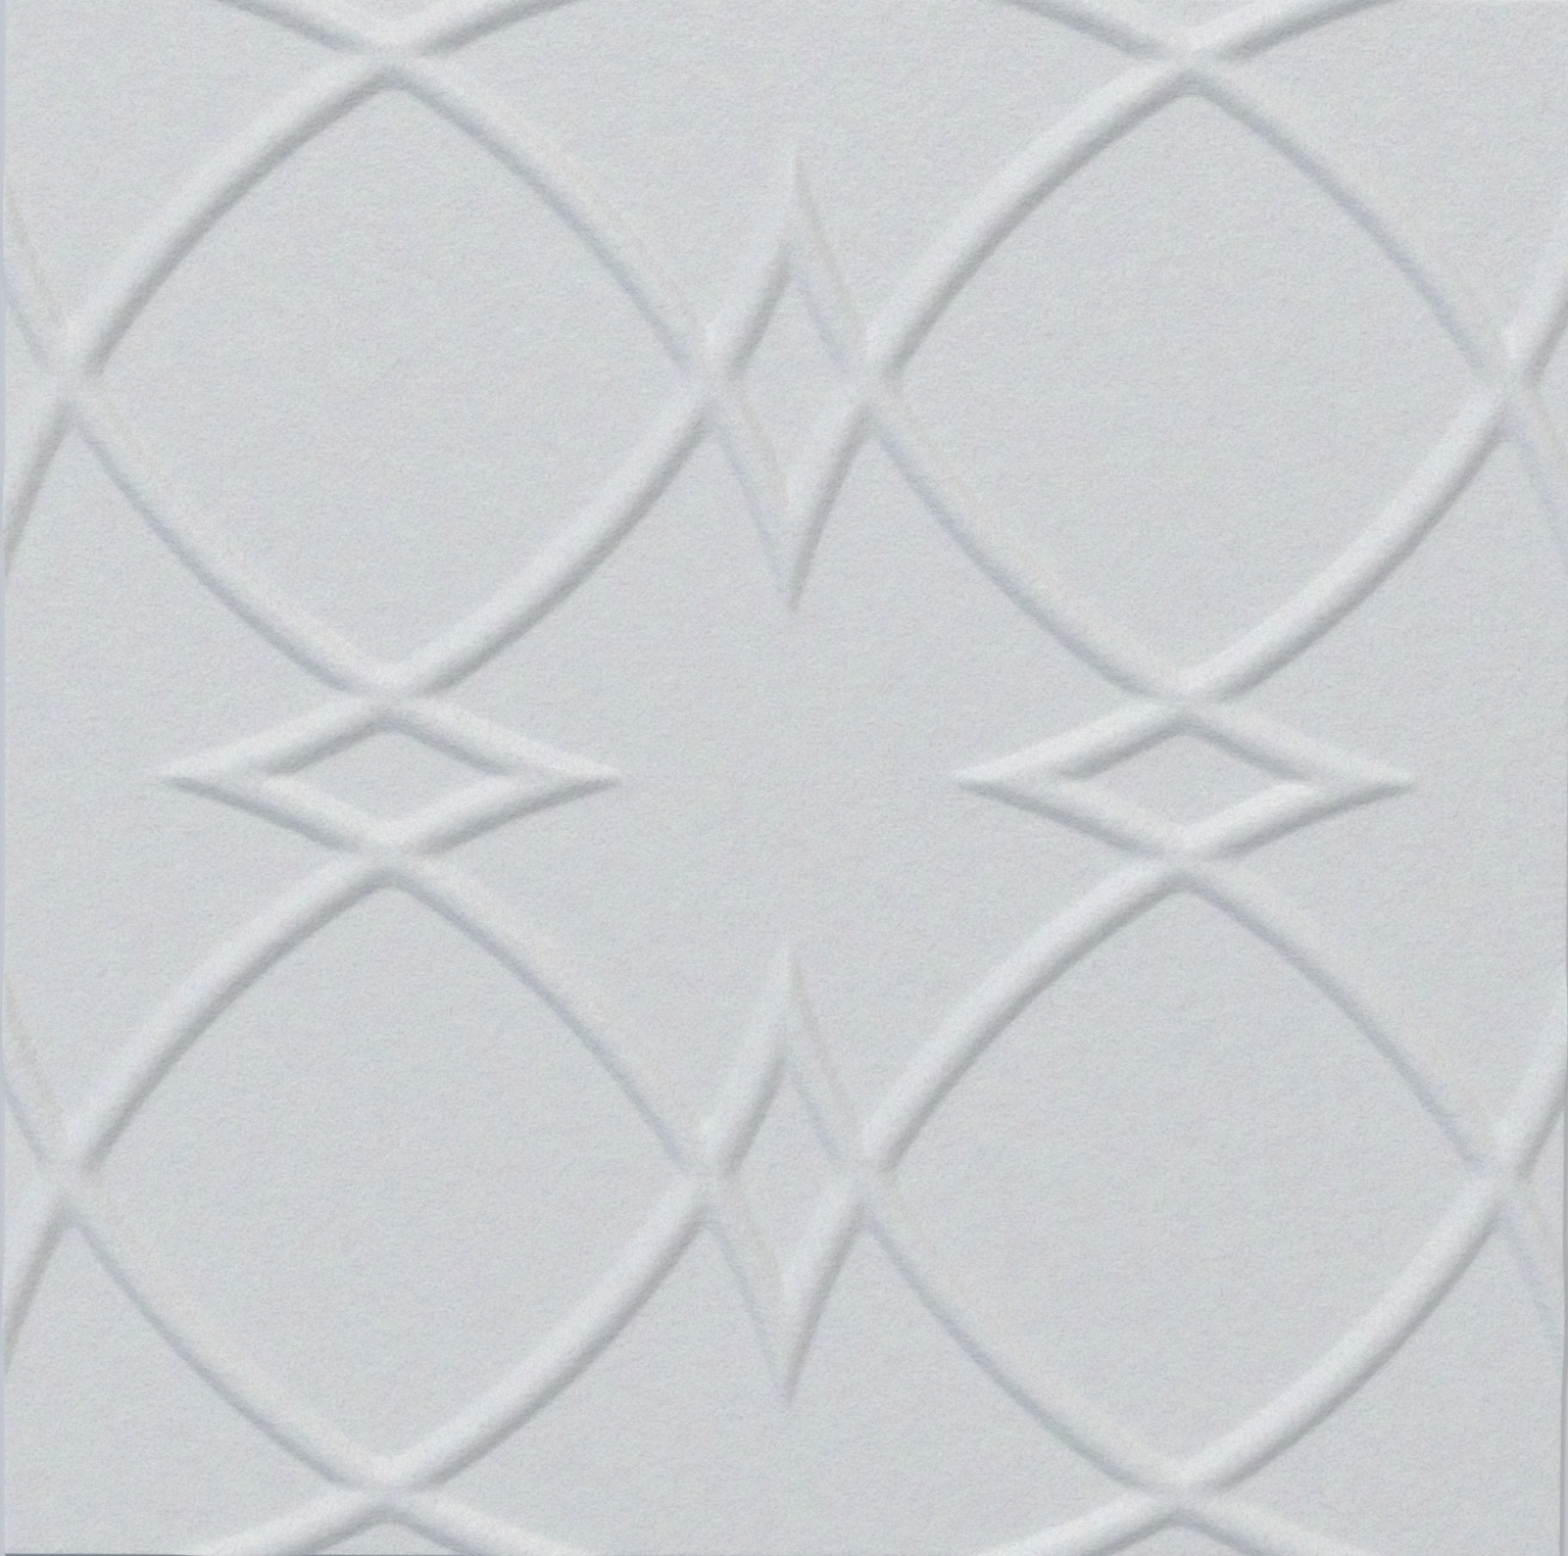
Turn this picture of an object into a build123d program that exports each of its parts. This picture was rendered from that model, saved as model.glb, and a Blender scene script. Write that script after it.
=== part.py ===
from build123d import *
import math
import os

# A square ceiling tile pressed from one sheet of polystyrene foam. The face looks up
# along +Z and carries a lattice of rounded ridges. The back lies on z = 0 and has the
# same lattice as shallow hollows, because the sheet keeps its thickness over them.
# The origin is the centre of the back. Lengths are in millimetres.

# Driving dimensions of the sheet
tile_size = 500.0          # each side of the square
sheet_thickness = 3.2      # foam between the ridges, and the wall over each hollow

# Driving dimensions of the lattice, a grid of square cells with one corner on the origin
pattern_pitch = 254.0      # side of one cell
arc_radius = 283.0         # radius of each ridge's crown line, seen from above
arc_landing = 56.3         # from the middle of a cell's side to the place where a ridge ends on it

# Driving dimensions of a ridge's section
ridge_height = 3.15        # from the sheet's face up to the crown
crown_radius = 8.8         # round top of the ridge
flank_angle = 30.0         # slope of the ridge's straight sides, in degrees
overlap = 0.05             # how far a ridge or hollow reaches past the face that it grows from

# Each ridge is part of a ring that is centred on a diagonal of its cell
half_pitch = pattern_pitch / 2
chord_half = (half_pitch + arc_landing) / math.sqrt(2)
chord_distance = (half_pitch - arc_landing) / math.sqrt(2)
ring_offset = (math.sqrt(arc_radius**2 - chord_half**2) - chord_distance) / math.sqrt(2)
flank_slope = math.radians(flank_angle)


def crown_point(slope):
    """The point of the crown's round that has this slope."""
    drop = crown_radius * (1 - math.cos(slope))
    return (crown_radius * math.sin(slope), sheet_thickness + ridge_height - drop)


def down_flank(start, height):
    """The point at this height on the flank that leaves start."""
    return (start[0] + (start[1] - height) / math.tan(flank_slope), height)


def ridge_section():
    """Section across a ridge: a round crown that runs into a straight flank on each side."""
    shoulder = crown_point(flank_slope)
    foot = down_flank(shoulder, sheet_thickness - overlap)
    with BuildSketch(Plane.XZ) as section:
        with BuildLine():
            ThreePointArc(crown_point(0), crown_point(flank_slope / 2), shoulder)
            Polyline(shoulder, foot, (0, foot[1]), crown_point(0))
        make_face()
        mirror(about=Plane.YZ)
    return section.sketch


def hollow_section():
    """Section across a hollow of the back, as deep as the ridge is high and a sheet inside its face."""
    roof_edge = ((crown_radius - sheet_thickness) * math.tan(flank_slope / 2), ridge_height)
    mouth = down_flank(roof_edge, -overlap)
    with BuildSketch(Plane.XZ) as section:
        with BuildLine():
            Polyline((0, ridge_height), roof_edge, mouth, (0, mouth[1]), close=True)
        make_face()
        mirror(about=Plane.YZ)
    return section.sketch


def cell_relief(section):
    """The four crossing arcs of one cell, cut off at the cell's sides."""
    quarter_ring = Rot(0, 0, -90) * revolve(Pos(arc_radius, 0, 0) * section, Axis.Z, revolution_arc=90)
    arc = Pos(-ring_offset, ring_offset, 0) * quarter_ring
    pair = [arc, mirror(arc, about=Plane.YZ)]
    arcs = pair + [mirror(half, about=Plane.XZ) for half in pair]
    return arcs[0].fuse(*arcs[1:]) & Box(pattern_pitch, pattern_pitch, 4 * (sheet_thickness + ridge_height))


def foam_tile():
    """The pressed sheet, trimmed square through the ridges that its sides cross."""
    cells_from_centre = math.ceil(tile_size / 2 / pattern_pitch)
    places = [Pos(half_pitch + i * pattern_pitch, half_pitch + j * pattern_pitch)
              for i in range(-cells_from_centre, cells_from_centre)
              for j in range(-cells_from_centre, cells_from_centre)]
    ridges = cell_relief(ridge_section())
    hollows = cell_relief(hollow_section())
    stock_size = 2 * cells_from_centre * pattern_pitch
    stock = Pos(0, 0, sheet_thickness / 2) * Box(stock_size, stock_size, sheet_thickness)
    pressed = stock.fuse(*[place * ridges for place in places])
    pressed = pressed.cut(*[place * hollows for place in places])
    return pressed & Box(tile_size, tile_size, 4 * (sheet_thickness + ridge_height))


os.makedirs("parts", exist_ok=True)
export_step(foam_tile(), "parts/foam_tile.step")
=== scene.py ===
import math

import bmesh
import bpy
from bpy.props import FloatProperty, FloatVectorProperty, PointerProperty
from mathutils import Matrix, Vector


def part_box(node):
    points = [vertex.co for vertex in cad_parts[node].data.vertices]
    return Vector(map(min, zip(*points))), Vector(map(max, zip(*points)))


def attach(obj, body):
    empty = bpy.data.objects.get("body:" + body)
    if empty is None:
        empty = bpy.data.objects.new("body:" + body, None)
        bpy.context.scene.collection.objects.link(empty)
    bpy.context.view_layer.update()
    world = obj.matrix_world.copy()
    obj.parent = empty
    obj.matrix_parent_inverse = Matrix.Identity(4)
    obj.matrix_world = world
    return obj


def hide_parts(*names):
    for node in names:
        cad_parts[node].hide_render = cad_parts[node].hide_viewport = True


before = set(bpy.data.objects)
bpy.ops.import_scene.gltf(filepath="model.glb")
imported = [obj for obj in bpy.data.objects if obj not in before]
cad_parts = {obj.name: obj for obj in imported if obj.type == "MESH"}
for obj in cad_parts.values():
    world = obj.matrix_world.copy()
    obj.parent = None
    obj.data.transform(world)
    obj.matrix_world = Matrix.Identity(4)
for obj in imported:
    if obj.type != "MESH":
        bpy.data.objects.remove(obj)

bl_info = {
    "name": "Pressed foam ceiling tile",
    "version": (1, 0, 0),
    "blender": (4, 5, 0),
    "location": "View3D > Sidebar > Foam Tile",
    "description": "Presses, trims and lights one square foam ceiling tile with a lattice of ridges",
    "category": "Object",
}

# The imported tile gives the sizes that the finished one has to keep
tile_low, tile_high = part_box("foam_tile")
TILE_SIZE = tile_high.x - tile_low.x
TILE_HEIGHT = tile_high.z - tile_low.z
SHEET_THICKNESS = 0.0032
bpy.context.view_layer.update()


class FoamTileSizes(bpy.types.PropertyGroup):
    """Sizes of the sheet, of its lattice and of the ridges' section"""

    tile_size: FloatProperty(
        name="Tile size", description="Each side of the trimmed square",
        default=TILE_SIZE, min=0.1, unit="LENGTH")
    sheet_thickness: FloatProperty(
        name="Sheet thickness", description="Foam between the ridges and over each hollow of the back",
        default=SHEET_THICKNESS, min=0.001, unit="LENGTH")
    pattern_pitch: FloatProperty(
        name="Pattern pitch", description="Side of one square cell of the lattice",
        default=0.254, min=0.05, unit="LENGTH")
    arc_radius: FloatProperty(
        name="Arc radius", description="Radius of a ridge's crown line, seen from above",
        default=0.283, min=0.05, unit="LENGTH")
    arc_landing: FloatProperty(
        name="Arc landing", description="From the middle of a cell's side to where a ridge ends on it",
        default=0.0563, min=0.0, unit="LENGTH")
    ridge_height: FloatProperty(
        name="Ridge height", description="From the sheet's face up to the crown",
        default=TILE_HEIGHT - SHEET_THICKNESS, min=0.0005, unit="LENGTH")
    crown_radius: FloatProperty(
        name="Crown radius", description="Round top of a ridge",
        default=0.0088, min=0.001, unit="LENGTH")
    flank_angle: FloatProperty(
        name="Flank angle", description="Slope of a ridge's straight side",
        default=math.radians(30), min=0.1, max=1.2, subtype="ANGLE")
    skirt_height: FloatProperty(
        name="Skirt height", description="How high the sheet has already risen where a ridge's side begins",
        default=0.0002, min=0.0, unit="LENGTH")
    skirt_width: FloatProperty(
        name="Skirt width", description="Strip along a ridge's foot in which the sheet begins to rise",
        default=0.004, min=0.0001, unit="LENGTH")
    crease_blend: FloatProperty(
        name="Crease blend", description="Height difference below which the crease at a foot is rounded",
        default=0.0003, min=0.00001, unit="LENGTH")
    crossing_blend: FloatProperty(
        name="Crossing blend", description="Height difference below which a valley or a tip is rounded",
        default=0.0036, min=0.00001, unit="LENGTH")
    tip_round: FloatProperty(
        name="Tip round", description="Radius of the folds where two ridges meet on a cell's side",
        default=0.0014, min=0.0, unit="LENGTH")
    tip_length: FloatProperty(
        name="Tip length", description="From where two crown lines meet to where their end's slope is down",
        default=0.0245, min=0.001, unit="LENGTH")
    tip_angle: FloatProperty(
        name="Tip angle", description="Slope of a ridge's end",
        default=math.radians(16.5), min=0.1, max=1.2, subtype="ANGLE")
    edge_round: FloatProperty(
        name="Edge round", description="Radius that the trimming blade leaves on the face's edge",
        default=0.0006, min=0.0001, unit="LENGTH")
    unevenness: FloatProperty(
        name="Unevenness", description="Depth of the sheet's broad waves",
        default=0.0002, min=0.0, unit="LENGTH")
    wave_spacing: FloatProperty(
        name="Wave spacing", description="Distance between the sheet's broad waves",
        default=0.09, min=0.01, unit="LENGTH")


class FoamFinish(bpy.types.PropertyGroup):
    """Colour, gloss and grain of the foam's skin"""

    foam_colour: FloatVectorProperty(
        name="Foam colour", description="Cool white of the pressed skin",
        default=(0.605, 0.623, 0.642), subtype="COLOR", min=0.0, max=1.0)
    skin_roughness: FloatProperty(
        name="Skin roughness", description="How widely the skin spreads its faint gloss",
        default=0.52, min=0.0, max=1.0, subtype="FACTOR")
    skin_gloss: FloatProperty(
        name="Skin gloss", description="Strength of the skin's faint gloss",
        default=0.3, min=0.0, max=1.0, subtype="FACTOR")
    tint_spread: FloatProperty(
        name="Tint spread", description="How far the colour of the skin's faint patches drifts either way",
        default=0.045, min=0.0, max=1.0)
    tint_size: FloatProperty(
        name="Tint patch size", description="Distance between the patches",
        default=0.009, min=0.001, unit="LENGTH")
    fleck_spread: FloatProperty(
        name="Fleck spread", description="How much lighter and darker the foam's cells show through the skin",
        default=0.14, min=0.0, max=1.0)
    fleck_size: FloatProperty(
        name="Fleck size", description="Distance between the foam's cells",
        default=0.0011, min=0.0002, unit="LENGTH")
    # Painted shade: the few small open cells are painted darker, standing in for the shade inside them
    pit_shade_depth: FloatProperty(
        name="Pit depth", description="How much darker the few small open cells are",
        default=0.16, min=0.0, max=1.0)
    pit_size: FloatProperty(
        name="Pit size", description="Size of the few small open cells",
        default=0.0011, min=0.0002, unit="LENGTH")
    grain_size: FloatProperty(
        name="Grain size", description="Distance between the broadest bumps of the leathery skin",
        default=0.005, min=0.0002, unit="LENGTH")
    grain_depth: FloatProperty(
        name="Grain depth", description="Height of the bumps of the leathery skin",
        default=0.00045, min=0.0, unit="LENGTH")


class StudioSettings(bpy.types.PropertyGroup):
    """Floor, backdrop, lamps and sky of the studio"""

    floor_colour: FloatVectorProperty(
        name="Floor colour", description="Plain pale floor",
        default=(0.515, 0.54, 0.58), subtype="COLOR", min=0.0, max=1.0)
    backdrop_colour: FloatVectorProperty(
        name="Backdrop colour", description="Plain pale background that the camera sees beyond the floor",
        default=(0.66, 0.68, 0.71), subtype="COLOR", min=0.0, max=1.0)
    lamp_distance: FloatProperty(
        name="Lamp distance", description="From the tile to each soft box",
        default=25.0, min=0.5, unit="LENGTH")
    lamp_size: FloatProperty(
        name="Lamp size", description="Each side of a soft box",
        default=4.7, min=0.1, unit="LENGTH")
    main_power: FloatProperty(
        name="Main lamp's power", description="Power of the soft box beyond the tile's upper edge",
        default=4850.0, min=0.0, unit="POWER")
    main_colour: FloatVectorProperty(
        name="Main lamp's colour", description="Faintly warm white",
        default=(1.033, 1.0, 0.967), subtype="COLOR", min=0.0, soft_max=1.0)
    side_power: FloatProperty(
        name="Side lamp's power", description="Power of the soft box on the left",
        default=1730.0, min=0.0, unit="POWER")
    side_colour: FloatVectorProperty(
        name="Side lamp's colour", description="Faintly cool white",
        default=(0.91, 1.0, 1.09), subtype="COLOR", min=0.0, soft_max=1.0)
    sky_strength: FloatProperty(
        name="Sky strength", description="Brightness of the soft light from all round",
        default=0.2, min=0.0)
    sky_warmth: FloatProperty(
        name="Sky warmth", description="How far the sky turns warm at the upper right and cool opposite",
        default=0.15, min=0.0, max=1.0)


def arc_ring_offset(sizes):
    """How far the centre of a ridge's ring lies from the cell's centre, along X and along Y."""
    half_pitch = sizes.pattern_pitch / 2
    chord_half = (half_pitch + sizes.arc_landing) / math.sqrt(2)
    chord_distance = (half_pitch - sizes.arc_landing) / math.sqrt(2)
    return (math.sqrt(sizes.arc_radius**2 - chord_half**2) - chord_distance) / math.sqrt(2)


def smooth_max(first, second, blend):
    """The higher of two surfaces, with their crease filled where they are nearly level."""
    higher = max(first, second)
    closeness = blend - abs(first - second)
    return higher + closeness**2 / (4 * blend) if closeness > 0 else higher


class Lattice:
    """Heights of the pressed relief, worked out from the sizes at any place of the sheet."""

    def __init__(self, sizes):
        self.pitch = sizes.pattern_pitch
        self.half_pitch = sizes.pattern_pitch / 2
        self.radius = sizes.arc_radius
        self.offset = arc_ring_offset(sizes)
        self.height = sizes.ridge_height
        self.slope = math.tan(sizes.flank_angle)
        self.flank_sine = math.sin(sizes.flank_angle)
        self.face_crown = sizes.crown_radius
        self.back_crown = sizes.crown_radius - sizes.sheet_thickness
        self.skirt_height = sizes.skirt_height
        self.skirt_width = sizes.skirt_width
        self.crease_blend = sizes.crease_blend
        self.crossing_blend = sizes.crossing_blend
        self.tip_round = sizes.tip_round
        self.tip_cosine = (self.half_pitch + self.offset) / self.radius
        self.tip_sine = math.sqrt(1 - self.tip_cosine**2)
        self.tip_length = sizes.tip_length
        self.tip_slope = math.tan(sizes.tip_angle)

    def flank(self, crown_radius):
        """Where the crown's round turns into the flank: distance from the crown line, and height."""
        start = crown_radius * self.flank_sine
        return start, self.height - crown_radius + math.sqrt(crown_radius**2 - start**2)

    def ridge(self, distance, crown_radius):
        """Height of a round crown with straight flanks; past the foot it runs on below the sheet."""
        start, top = self.flank(crown_radius)
        if distance < start:
            return self.height - crown_radius + math.sqrt(crown_radius**2 - distance**2)
        return top - (distance - start) * self.slope

    def to_cell(self, place):
        """Distances from the middle lines of the cell; the fold at the cell's sides is rounded."""
        to_sides = [self.half_pitch - abs(value % self.pitch - self.half_pitch) for value in place.xy]
        return [self.half_pitch - math.hypot(to_side, self.tip_round) for to_side in to_sides]

    def from_rings(self, across, along):
        """Places as seen from the centres of the three rings whose ridges come near."""
        return (
            (across + self.offset, along + self.offset),
            (across + self.offset, along - self.offset),
            (along + self.offset, across - self.offset),
        )

    def tip(self, run, rise):
        """Height of the slope that ends a ridge, past where its crown line meets the cell's side."""
        past_meeting = run * self.tip_sine + rise * self.tip_cosine
        return (self.tip_length - past_meeting) * self.tip_slope

    def face_ridge(self, run, rise):
        """Height of one ridge of the face, with its tip where it has one."""
        lift = self.ridge(abs(math.hypot(run, rise) - self.radius), self.face_crown)
        if rise > 0:
            return lift
        return -smooth_max(-lift, -self.tip(run, rise), self.crossing_blend)

    def face_ridges(self, seen):
        """Height of all the ridges, with the valleys rounded where they cross."""
        lift = -self.height
        for place in seen:
            other = self.face_ridge(*place)
            depth = 1 - max(min(lift, other), 0) / self.height
            lift = smooth_max(lift, other, self.crossing_blend * math.sqrt(depth))
        return lift

    def face_lift(self, place):
        """How far the face stands above the sheet, which begins to rise just before a ridge's foot."""
        lift = self.face_ridges(self.from_rings(*self.to_cell(place)))
        gap = (self.skirt_height - lift) / self.slope
        skirt = self.skirt_height * min(max(1 - gap / self.skirt_width, 0), 1)**2
        return min(smooth_max(lift, skirt, self.crease_blend), self.height)

    def back_lift(self, place):
        """How deep the back's hollow is."""
        seen = self.from_rings(*self.to_cell(place))
        distance = min(abs(math.hypot(*each) - self.radius) for each in seen)
        return max(0, self.ridge(distance, self.back_crown))


def select_faces(piece, wanted):
    """Selects the faces that the test wants, and no others."""
    bpy.ops.mesh.select_mode(type="FACE")
    bpy.ops.mesh.select_all(action="DESELECT")
    mesh = bmesh.from_edit_mesh(piece.data)
    for face in mesh.faces:
        face.select_set(wanted(face))
    bmesh.update_edit_mesh(piece.data)


def select_edges(piece, wanted):
    """Selects the edges that the test wants, and no others."""
    bpy.ops.mesh.select_mode(type="EDGE")
    bpy.ops.mesh.select_all(action="DESELECT")
    mesh = bmesh.from_edit_mesh(piece.data)
    for edge in mesh.edges:
        edge.select_set(wanted(edge))
    bmesh.update_edit_mesh(piece.data)


def apply_modifier(piece, kind, **values):
    """Adds a modifier with these values and applies it."""
    modifier = piece.modifiers.new(kind.title(), kind)
    for name, value in values.items():
        setattr(modifier, name, value)
    bpy.ops.object.modifier_apply(modifier=modifier.name)


# The grid under the relief: squares along a cell at first, and how often bent ones are split in four
SQUARES_PER_CELL = 40
FACE_SPLITS = 3
BACK_SPLITS = 1

# How far the relief may bend within a square that isn't split
FLATNESS = 0.00004

# A face whose normal's Z is below this is a wall
WALL_LIMIT = 0.5

# A square whose normal's Z is above this may be split
SIDE_LIMIT = 0.2

# Strips that make up the round of the face's edge
EDGE_STRIPS = 3

# Edges that turn by more than this are shaded sharp
SMOOTH_ANGLE = math.radians(40)


def is_wall(face):
    """Whether a face stands upright, as the cut walls do."""
    return abs(face.normal.z) < WALL_LIMIT


def add_slab(sizes):
    """A flat slab in a grid of squares that line up with the lattice, trimmed to the tile's square."""
    step = sizes.pattern_pitch / SQUARES_PER_CELL
    steps_each_way = math.ceil(sizes.tile_size / 2 / step) + 1
    bpy.ops.mesh.primitive_grid_add(
        x_subdivisions=2 * steps_each_way, y_subdivisions=2 * steps_each_way,
        size=2 * steps_each_way * step, calc_uvs=False, location=(0, 0, sizes.sheet_thickness))
    slab = bpy.context.object
    bpy.ops.object.transform_apply()
    apply_modifier(slab, "SOLIDIFY", thickness=sizes.sheet_thickness, offset=-1)
    bpy.ops.object.mode_set(mode="EDIT")
    for out in (Vector((1, 0, 0)), Vector((-1, 0, 0)), Vector((0, 1, 0)), Vector((0, -1, 0))):
        bpy.ops.mesh.select_all(action="SELECT")
        bpy.ops.mesh.bisect(
            plane_co=out * sizes.tile_size / 2, plane_no=out, use_fill=True, clear_outer=True)
    bpy.ops.object.mode_set(mode="OBJECT")
    return slab


def round_face_edge(slab, sizes):
    """Rounds the edge between the face and the cut walls a little, as a blade leaves it."""

    def is_face_edge(edge):
        walls = [is_wall(face) for face in edge.link_faces]
        return any(walls) and not all(walls) and edge.verts[0].co.z > sizes.sheet_thickness / 2

    select_edges(slab, is_face_edge)
    bpy.ops.mesh.bevel(offset=sizes.edge_round, segments=EDGE_STRIPS, profile=0.5, affect="EDGES")


def bend(face, lift):
    """How far the relief leaves a flat square: its middle against the mean of its corners."""
    corners = [lift(vertex.co) for vertex in face.verts]
    return abs(lift(face.calc_center_median()) - sum(corners) / len(corners))


def split_where_bent(slab, lift, side, splits):
    """Splits the squares of one side in four, again and again where the relief bends within them."""

    def is_bent(face):
        return face.normal.z * side > SIDE_LIMIT and len(face.verts) == 4 and bend(face, lift) > FLATNESS

    for _ in range(splits):
        select_faces(slab, is_bent)
        bpy.ops.mesh.subdivide(number_cuts=1)


def press_relief(slab, lattice, sizes):
    """Presses ridges into the face and hollows into the back, and lets the face sink in faint waves."""
    relief = slab.vertex_groups.new(name="relief")
    face = slab.vertex_groups.new(name="face")
    middle = sizes.sheet_thickness / 2
    for vertex in slab.data.vertices:
        on_face = vertex.co.z > middle
        lift = lattice.face_lift(vertex.co) if on_face else lattice.back_lift(vertex.co)
        relief.add([vertex.index], lift / lattice.height, "REPLACE")
        face.add([vertex.index], float(on_face), "REPLACE")
    apply_modifier(
        slab, "DISPLACE", vertex_group="relief", direction="Z", mid_level=0, strength=lattice.height)
    waves = bpy.data.textures.new("broad waves", "CLOUDS")
    waves.noise_scale = sizes.wave_spacing
    waves.noise_depth = 1
    apply_modifier(
        slab, "DISPLACE", texture=waves, texture_coords="LOCAL", vertex_group="face",
        direction="Z", mid_level=1, strength=sizes.unevenness)
    bpy.data.textures.remove(waves)
    slab.vertex_groups.clear()


def press_tile(sizes):
    """Makes the whole tile as one closed mesh."""
    lattice = Lattice(sizes)
    tile = add_slab(sizes)
    bpy.ops.object.mode_set(mode="EDIT")
    round_face_edge(tile, sizes)
    split_where_bent(tile, lattice.face_lift, 1, FACE_SPLITS)
    split_where_bent(tile, lattice.back_lift, -1, BACK_SPLITS)
    bpy.ops.object.mode_set(mode="OBJECT")
    press_relief(tile, lattice, sizes)
    bpy.ops.object.shade_smooth_by_angle(angle=SMOOTH_ANGLE)
    bpy.ops.object.mode_set(mode="EDIT")
    select_faces(tile, is_wall)
    bpy.ops.mesh.faces_shade_flat()
    bpy.ops.object.mode_set(mode="OBJECT")
    return tile


def node(tree, kind, **inputs):
    """Adds a shader node and sets its sockets by name, with _ for a space."""
    added = tree.nodes.new(kind)
    for name, value in inputs.items():
        added.inputs[name.replace("_", " ")].default_value = value
    return added


def add_noise(tree, place, feature_size, detail, roughness):
    """A noise pattern that is fixed to the foam, with features about this far apart."""
    noise = node(tree, "ShaderNodeTexNoise", Scale=1 / feature_size, Detail=detail, Roughness=roughness)
    tree.links.new(place, noise.inputs["Vector"])
    return noise


def add_mix(tree, blend_type, factor, first, second):
    """Mixes two colours, each given as a socket or as plain numbers."""
    mix = tree.nodes.new("ShaderNodeMix")
    mix.data_type = "RGBA"
    mix.blend_type = blend_type
    for name, value in (("Factor", factor), ("A", first), ("B", second)):
        socket = next(each for each in mix.inputs if each.name == name and each.enabled)
        if isinstance(value, bpy.types.NodeSocket):
            tree.links.new(value, socket)
        else:
            socket.default_value = value
    return next(each for each in mix.outputs if each.enabled)


# Finer layers of each noise, and how strong each layer is against the one before
PATCH_LAYERS, PATCH_FADE = 2.0, 0.65
CELL_LAYERS, CELL_FADE = 1.0, 0.7
PIT_LAYERS, PIT_FADE = 0.0, 0.0
GRAIN_LAYERS, GRAIN_FADE = 3.0, 0.7

# Noise levels from which a small open cell's painted shade begins, and reaches its full depth
PIT_SHADE_START, PIT_SHADE_FULL = 0.68, 0.8


def foam_material(finish):
    """Pressed foam: a cool white, faintly patchy and flecked skin with painted shade in small pits, and
    leathery grain.
    """
    material = bpy.data.materials.new("pressed foam")
    material.use_nodes = True
    tree = material.node_tree
    shader = tree.nodes["Principled BSDF"]
    shader.inputs["Roughness"].default_value = finish.skin_roughness
    shader.inputs["Specular IOR Level"].default_value = finish.skin_gloss
    place = tree.nodes.new("ShaderNodeTexCoord").outputs["Object"]

    skin = (*finish.foam_colour, 1)
    patches = add_noise(tree, place, finish.tint_size, PATCH_LAYERS, PATCH_FADE)
    skin = add_mix(tree, "LINEAR_LIGHT", finish.tint_spread, skin, patches.outputs["Color"])
    cells = add_noise(tree, place, finish.fleck_size, CELL_LAYERS, CELL_FADE)
    skin = add_mix(tree, "LINEAR_LIGHT", finish.fleck_spread, skin, cells.outputs["Fac"])
    # Painted shade: small open cells are painted darker in the colour rather than cut into the skin
    pit_shade_noise = add_noise(tree, place, finish.pit_size, PIT_LAYERS, PIT_FADE)
    painted_pit_shade = node(tree, "ShaderNodeMapRange", From_Min=PIT_SHADE_START, From_Max=PIT_SHADE_FULL, To_Max=finish.pit_shade_depth)
    tree.links.new(pit_shade_noise.outputs["Fac"], painted_pit_shade.inputs["Value"])
    skin = add_mix(tree, "MIX", painted_pit_shade.outputs["Result"], skin, (0, 0, 0, 1))
    tree.links.new(skin, shader.inputs["Base Color"])

    grain = add_noise(tree, place, finish.grain_size, GRAIN_LAYERS, GRAIN_FADE)
    bump = node(tree, "ShaderNodeBump", Strength=1.0, Distance=finish.grain_depth)
    tree.links.new(grain.outputs["Fac"], bump.inputs["Height"])
    tree.links.new(bump.outputs["Normal"], shader.inputs["Normal"])
    return material


class FOAMTILE_OT_press_tile(bpy.types.Operator):
    """Press a slab of foam into the ridged sheet and trim it to one square tile"""

    bl_idname = "foam_tile.press_tile"
    bl_label = "Press Foam Tile"

    def execute(self, context):
        bpy.ops.object.select_all(action="DESELECT")
        tile = press_tile(context.scene.foam_tile_sizes)
        tile.name = "pressed_tile"
        tile.data.name = tile.name
        tile.data.materials.append(foam_material(context.scene.foam_finish))
        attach(tile, "root")
        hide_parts("foam_tile")
        return {"FINISHED"}


FLOOR_SIZE = 24
FLOOR_ROUGHNESS = 0.9


def floor_material(colour):
    """An even matt colour for the studio's floor."""
    material = bpy.data.materials.new("floor")
    material.use_nodes = True
    shader = material.node_tree.nodes["Principled BSDF"]
    shader.inputs["Base Color"].default_value = (*colour, 1)
    shader.inputs["Roughness"].default_value = FLOOR_ROUGHNESS
    return material


def add_floor(studio):
    """A wide plain floor that the tile lies on."""
    bpy.ops.object.select_all(action="DESELECT")
    bpy.ops.mesh.primitive_plane_add(size=FLOOR_SIZE, location=(0, 0, 0))
    floor = bpy.context.object
    floor.name = "floor"
    floor.data.materials.append(floor_material(studio.floor_colour))


# Where the soft boxes hang: turned to the left of the tile's upper edge, and this high above the floor
MAIN_TURN, MAIN_HEIGHT = math.radians(0), math.radians(49)
SIDE_TURN, SIDE_HEIGHT = math.radians(104), math.radians(53)


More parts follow.
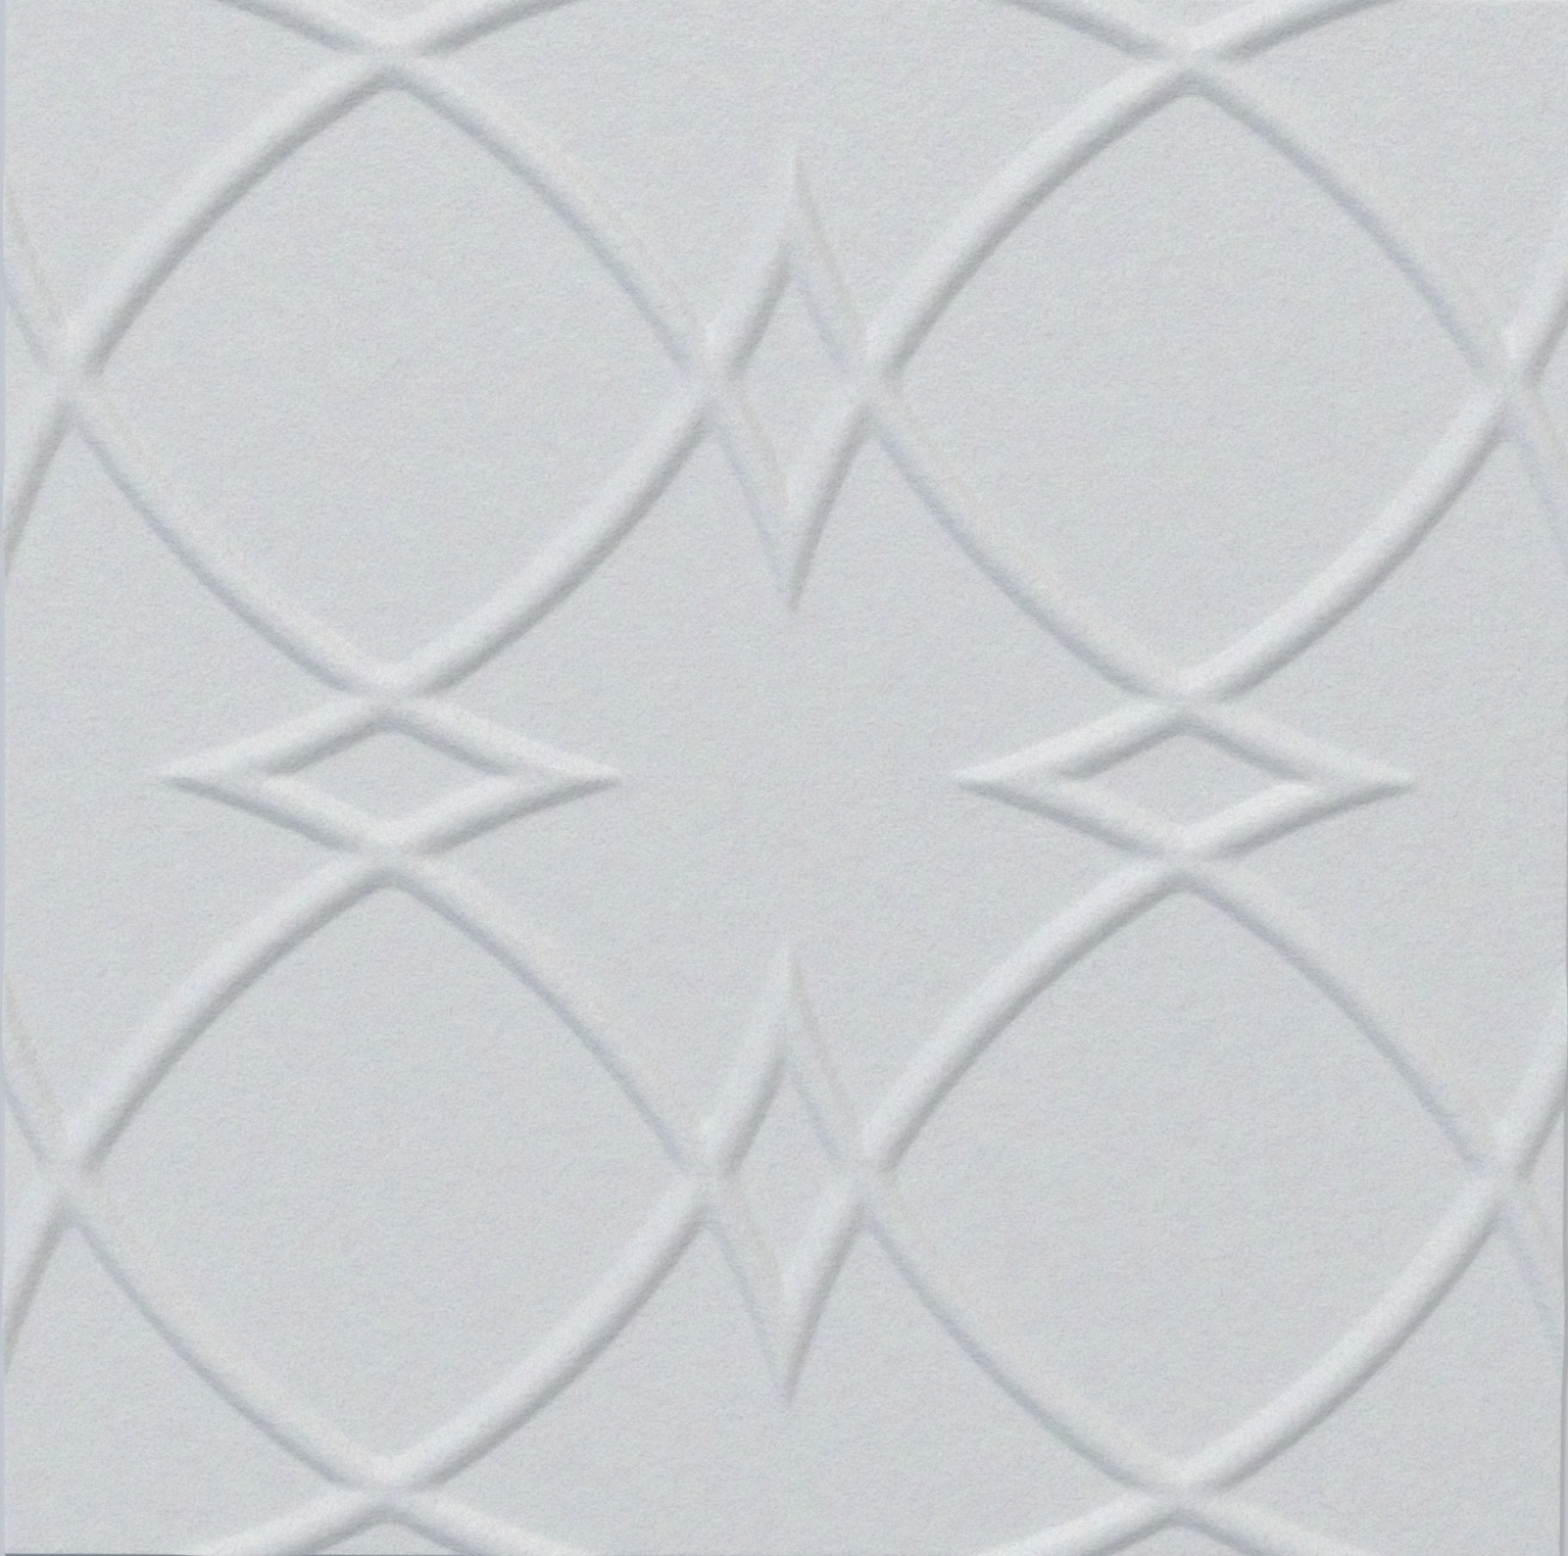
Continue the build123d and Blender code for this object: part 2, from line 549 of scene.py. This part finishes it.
def add_lamp(name, turn, height, power, colour, studio):
    """A soft box that looks at the tile from the direction that its two angles give."""
    level = studio.lamp_distance * math.cos(height)
    above = studio.lamp_distance * math.sin(height)
    place = Vector((-level * math.sin(turn), level * math.cos(turn), above))
    bpy.ops.object.light_add(type="AREA", location=place)
    lamp = bpy.context.object
    lamp.name = name
    lamp.rotation_euler = place.to_track_quat("Z", "Y").to_euler()
    lamp.data.shape = "SQUARE"
    lamp.data.size = studio.lamp_size
    lamp.data.energy = power
    lamp.data.color = colour


def sky_colour(tree, warmth):
    """A colour that turns from cool at the lower left to warm at the upper right."""
    direction = tree.nodes.new("ShaderNodeTexCoord").outputs["Generated"]
    towards_warm = tree.nodes.new("ShaderNodeVectorMath")
    towards_warm.operation = "DOT_PRODUCT"
    towards_warm.inputs[1].default_value = (math.sqrt(0.5), math.sqrt(0.5), 0)
    tree.links.new(direction, towards_warm.inputs[0])
    share = node(tree, "ShaderNodeMapRange", From_Min=-1.0, From_Max=1.0)
    tree.links.new(towards_warm.outputs["Value"], share.inputs["Value"])
    warm, cool = 1 + warmth, 1 - warmth
    return add_mix(tree, "MIX", share.outputs["Result"], (cool, 1, warm, 1), (warm, 1, cool, 1))


def add_sky(studio):
    """Soft light from all round, and a plain backdrop in its place for the camera alone."""
    world = bpy.data.worlds.new("studio")
    world.use_nodes = True
    tree = world.node_tree
    sky = tree.nodes["Background"]
    sky.inputs["Strength"].default_value = studio.sky_strength
    tree.links.new(sky_colour(tree, studio.sky_warmth), sky.inputs["Color"])
    backdrop = node(tree, "ShaderNodeBackground", Color=(*studio.backdrop_colour, 1), Strength=1.0)
    seen = tree.nodes.new("ShaderNodeMixShader")
    light_path = tree.nodes.new("ShaderNodeLightPath")
    tree.links.new(light_path.outputs["Is Camera Ray"], seen.inputs[0])
    tree.links.new(sky.outputs["Background"], seen.inputs[1])
    tree.links.new(backdrop.outputs["Background"], seen.inputs[2])
    tree.links.new(seen.outputs["Shader"], tree.nodes["World Output"].inputs["Surface"])
    bpy.context.scene.world = world


# Place and turn of the camera, from where the lattice lies in the photograph, and its lens in millimetres
CAMERA_PLACE = (-0.00826, 0.01944, 0.97707)
CAMERA_TURN = (math.radians(-1.121), math.radians(-0.406), math.radians(0.333))
LENS_LENGTH = 70
SENSOR_WIDTH = 36


def add_camera():
    """A camera that looks straight down on the tile, with the photograph's slight turn."""
    bpy.ops.object.camera_add(location=CAMERA_PLACE, rotation=CAMERA_TURN)
    camera = bpy.context.object
    camera.data.lens = LENS_LENGTH
    camera.data.sensor_width = SENSOR_WIDTH
    bpy.context.scene.camera = camera


class FOAMTILE_OT_stage(bpy.types.Operator):
    """Add the floor, the two soft boxes, the sky with its backdrop and the camera"""

    bl_idname = "foam_tile.stage"
    bl_label = "Set Up Studio"

    def execute(self, context):
        studio = context.scene.foam_tile_studio
        add_floor(studio)
        add_lamp("main soft box", MAIN_TURN, MAIN_HEIGHT, studio.main_power, studio.main_colour, studio)
        add_lamp("side soft box", SIDE_TURN, SIDE_HEIGHT, studio.side_power, studio.side_colour, studio)
        add_sky(studio)
        add_camera()
        context.scene.view_settings.view_transform = "Standard"
        return {"FINISHED"}


class FOAMTILE_PT_panel(bpy.types.Panel):
    """Lists the tile's sizes, finish and studio, and the operators that make them"""

    bl_idname = "FOAMTILE_PT_panel"
    bl_label = "Foam Tile"
    bl_space_type = "VIEW_3D"
    bl_region_type = "UI"
    bl_category = "Foam Tile"

    def draw(self, context):
        scene = context.scene
        for group in (scene.foam_tile_sizes, scene.foam_finish, scene.foam_tile_studio):
            box = self.layout.box()
            for name in group.__annotations__:
                box.prop(group, name)
        for operator in (FOAMTILE_OT_press_tile, FOAMTILE_OT_stage):
            self.layout.operator(operator.bl_idname)


CLASSES = (
    FoamTileSizes, FoamFinish, StudioSettings,
    FOAMTILE_OT_press_tile, FOAMTILE_OT_stage, FOAMTILE_PT_panel,
)


def register():
    """Makes the classes known to Blender and gives the scene their settings."""
    for cls in CLASSES:
        bpy.utils.register_class(cls)
    bpy.types.Scene.foam_tile_sizes = PointerProperty(type=FoamTileSizes)
    bpy.types.Scene.foam_finish = PointerProperty(type=FoamFinish)
    bpy.types.Scene.foam_tile_studio = PointerProperty(type=StudioSettings)


def unregister():
    """Takes the settings and the classes away again."""
    del bpy.types.Scene.foam_tile_studio
    del bpy.types.Scene.foam_finish
    del bpy.types.Scene.foam_tile_sizes
    for cls in reversed(CLASSES):
        bpy.utils.unregister_class(cls)


def main():
    register()
    bpy.ops.foam_tile.press_tile()
    bpy.ops.foam_tile.stage()


if __name__ == "__main__":
    main()
